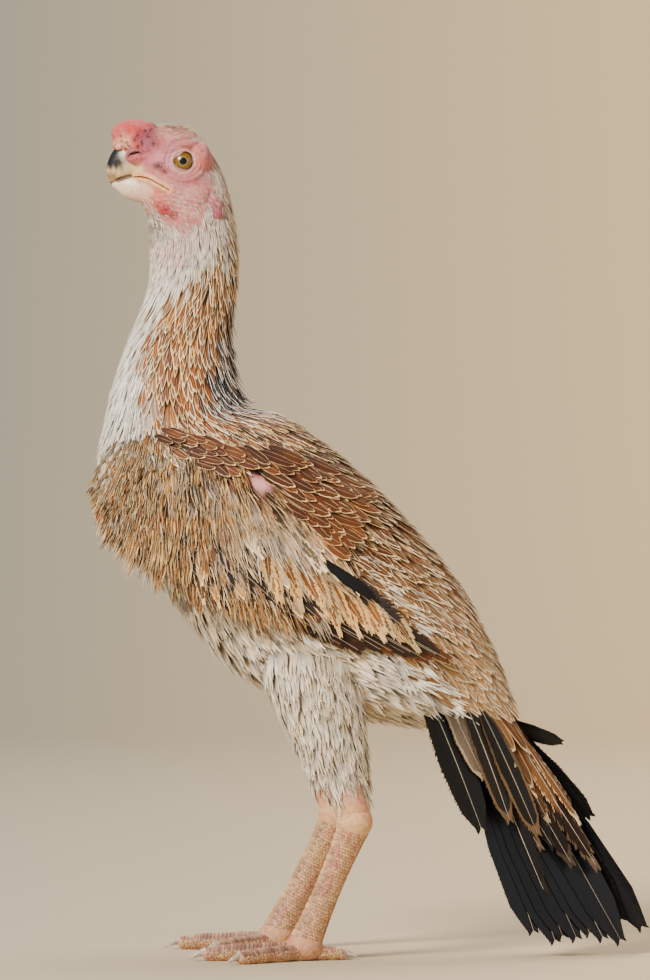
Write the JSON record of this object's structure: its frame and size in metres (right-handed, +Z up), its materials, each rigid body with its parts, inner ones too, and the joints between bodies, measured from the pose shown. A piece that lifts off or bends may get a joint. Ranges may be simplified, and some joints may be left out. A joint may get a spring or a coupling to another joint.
{
  "type": "aseel hen model",
  "caption": "Life-size still model of a young aseel hen standing alert, with feathered body, folded wings, drooping tail and scaled legs.",
  "frame": {"origin": "on the floor, at the centre of the hen's box seen from above", "axes": "+Z up, -X the way the hen faces, -Y its left side"},
  "size_m": [0.2996, 0.1408, 0.4678],
  "materials": {
    "comb": "soft waxy skin with fine pits",
    "face": "bare pink skin under fine pale hair-feathers",
    "lobe": "dark purplish red skin",
    "wattle": "dark red skin",
    "beak": "cream horn, slate black at the front",
    "eye": "wet amber eye with a black pupil",
    "neck_feathers": "narrow hackles, brown centres and cream edges",
    "body_feathers": "brown feathers laced with cream",
    "wing_feathers": "golden tan feathers with cream tips",
    "tail_feathers": "blue-black quills with a soft sheen",
    "thigh_feathers": "cream white soft feathers",
    "leg_scales": "pale yellow scales with pink seams",
    "toe_scales": "pinkish tan scales, dusty in the creases",
    "claws": "short worn pale grey horn"
  },
  "bodies": {
    "root": {"beak_lower": "beak", "beak_upper": "beak", "claw_left_1": "claws", "claw_left_2": "claws", "claw_left_3": "claws", "claw_left_4": "claws", "claw_right_1": "claws", "claw_right_2": "claws", "claw_right_3": "claws", "claw_right_4": "claws", "comb": "comb", "ear_lobe_left": "lobe", "ear_lobe_right": "lobe", "eye_left": "eye", "eye_right": "eye", "foot_left": "toe_scales", "foot_right": "toe_scales", "head": "face", "neck": "neck_feathers", "shank_left": "leg_scales", "shank_right": "leg_scales", "tail": "tail_feathers", "thigh_left": "thigh_feathers", "thigh_right": "thigh_feathers", "torso": "body_feathers", "wattle_left": "wattle", "wattle_right": "wattle", "wing_left": "wing_feathers", "wing_right": "wing_feathers"}
  },
  "joints": []
}
